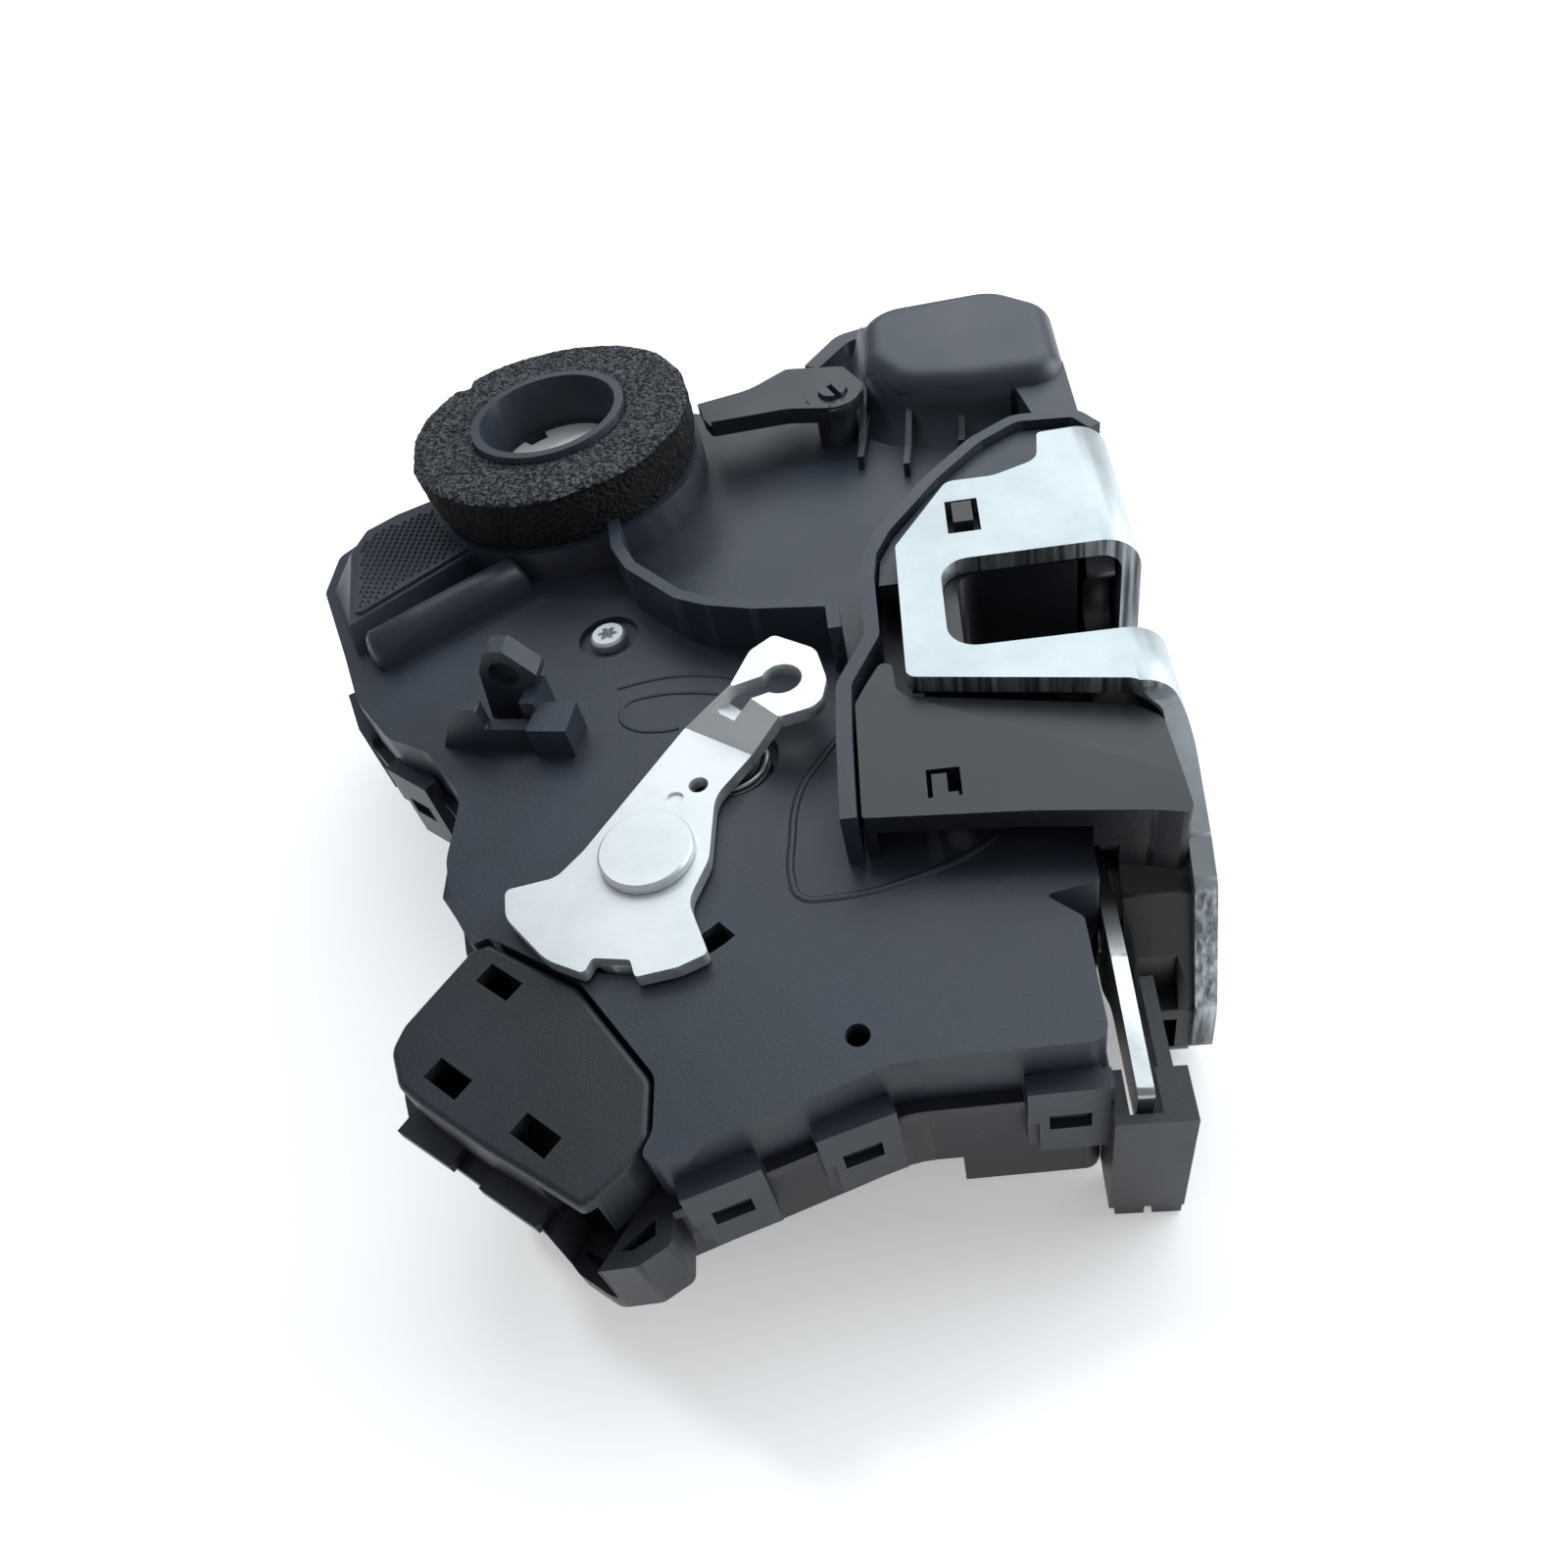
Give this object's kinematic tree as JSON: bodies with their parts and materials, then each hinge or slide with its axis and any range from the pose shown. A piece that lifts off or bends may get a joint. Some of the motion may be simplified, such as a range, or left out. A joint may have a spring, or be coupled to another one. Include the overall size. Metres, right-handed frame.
{
  "type": "vehicle door latch actuator",
  "caption": "Car door latch with a moulded lock-motor housing, steel striker plate, claw and pawl, cable lever, release lever, foam-sealed key tube and clipped back cover.",
  "frame": {"origin": "on the outer face of the steel face plate, mid-way across the striker mouth, level with the broad face of the moulded housing", "axes": "+X out of the face plate, +Z out of the broad face (the way the striker leaves), +Y up the door towards the lock motor"},
  "size_m": [0.1313, 0.1701, 0.051],
  "materials": {
    "housing_plastic": "fine-grained black moulded plastic",
    "cover_plastic": "black moulded plastic",
    "case_plastic": "smooth black moulded plastic",
    "lever_plastic": "dark moulded plastic",
    "terminal_tin": "tinned contacts",
    "foam": "open-cell black foam",
    "natural_nylon": "natural white nylon",
    "gear_nylon": "natural gear nylon",
    "zinc_plate": "bright zinc-plated pressed steel",
    "rivet_steel": "zinc-plated turned steel",
    "spring_steel": "dark spring wire",
    "bumper_rubber": "soft black rubber",
    "claw_steel": "dark phosphated steel",
    "bright_steel": "bright pressed steel",
    "motor_can": "drawn steel can"
  },
  "bodies": {
    "housing": {"front_housing": "housing_plastic", "back_cover": "cover_plastic", "cable_cover": "cover_plastic", "connector_terminals": "terminal_tin", "foam_gasket": "foam", "lever_rivet": "rivet_steel", "lever_spring": "spring_steel", "face_plate": "zinc_plate", "latch_case": "case_plastic", "striker_bumper": "bumper_rubber", "latch_cover": "case_plastic", "claw_pin": "rivet_steel", "claw_spring": "spring_steel", "pawl_pin": "rivet_steel", "pawl_spring": "spring_steel", "release_pin": "rivet_steel", "lock_motor": "motor_can", "wheel_axle": "rivet_steel", "lock_pin": "rivet_steel", "lock_switch": "case_plastic", "housing_screw": "zinc_plate"},
    "cable_lever": {"cable_lever": "zinc_plate"},
    "key_cam": {"key_cam": "natural_nylon"},
    "link_arm": {"link_arm": "lever_plastic"},
    "claw": {"claw": "claw_steel"},
    "pawl": {"pawl": "claw_steel"},
    "release_lever": {"release_lever": "bright_steel"},
    "worm": {"worm_gear": "natural_nylon", "motor_shaft": "rivet_steel"},
    "worm_wheel": {"worm_wheel": "gear_nylon"},
    "lock_lever": {"lock_lever": "lever_plastic"}
  },
  "joints": [
    {"name": "cable_lever_turn", "type": "hinge", "parent": "housing", "child": "cable_lever", "pos_m": [-0.0665, -0.0314, 0.0015], "axis": [0, 0, 1], "range_deg": [0, 35], "stiffness_Nm_per_rad": 0.02, "springref_deg": -17.19},
    {"name": "key_cam_turn", "type": "hinge", "parent": "housing", "child": "key_cam", "pos_m": [-0.0881, 0.0534, -0.004], "axis": [0, 0, 1], "range_deg": [-45, 45]},
    {"name": "link_arm_turn", "type": "hinge", "parent": "housing", "child": "link_arm", "pos_m": [-0.0414, 0.0594, 0.007], "axis": [0, 0, 1], "range_deg": [-12, 0]},
    {"name": "claw_turn", "type": "hinge", "parent": "housing", "child": "claw", "pos_m": [-0.0053, 0.017, -0.018], "axis": [1, 0, 0], "range_deg": [0, 45], "stiffness_Nm_per_rad": 0.03, "springref_deg": -28.65},
    {"name": "pawl_turn", "type": "hinge", "parent": "housing", "child": "pawl", "pos_m": [-0.0053, -0.02, -0.008], "axis": [1, 0, 0], "range_deg": [-8, 11]},
    {"name": "release_lever_turn", "type": "hinge", "parent": "housing", "child": "release_lever", "pos_m": [-0.012, -0.038, -0.014], "axis": [1, 0, 0], "range_deg": [-8.4, 6]},
    {"name": "worm_wheel_turn", "type": "hinge", "parent": "housing", "child": "worm_wheel", "pos_m": [-0.0515, 0.0475, -0.0085], "axis": [0, 0, 1], "range_deg": [-25, 25]},
    {"name": "worm_spin", "type": "hinge", "parent": "housing", "child": "worm", "pos_m": [-0.0515, 0.065, -0.0085], "axis": [1, 0, 0], "range_deg": [-700, 700]},
    {"name": "lock_lever_turn", "type": "hinge", "parent": "housing", "child": "lock_lever", "pos_m": [-0.0785, 0.0475, -0.0145], "axis": [0, 0, 1], "range_deg": [-12.5, 12.5]}
  ],
  "couplings": [
    {"joint": "pawl_turn", "follows": "release_lever_turn", "ratio": -1.3},
    {"joint": "worm_spin", "follows": "worm_wheel_turn", "ratio": 28},
    {"joint": "lock_lever_turn", "follows": "worm_wheel_turn", "ratio": -0.5}
  ]
}
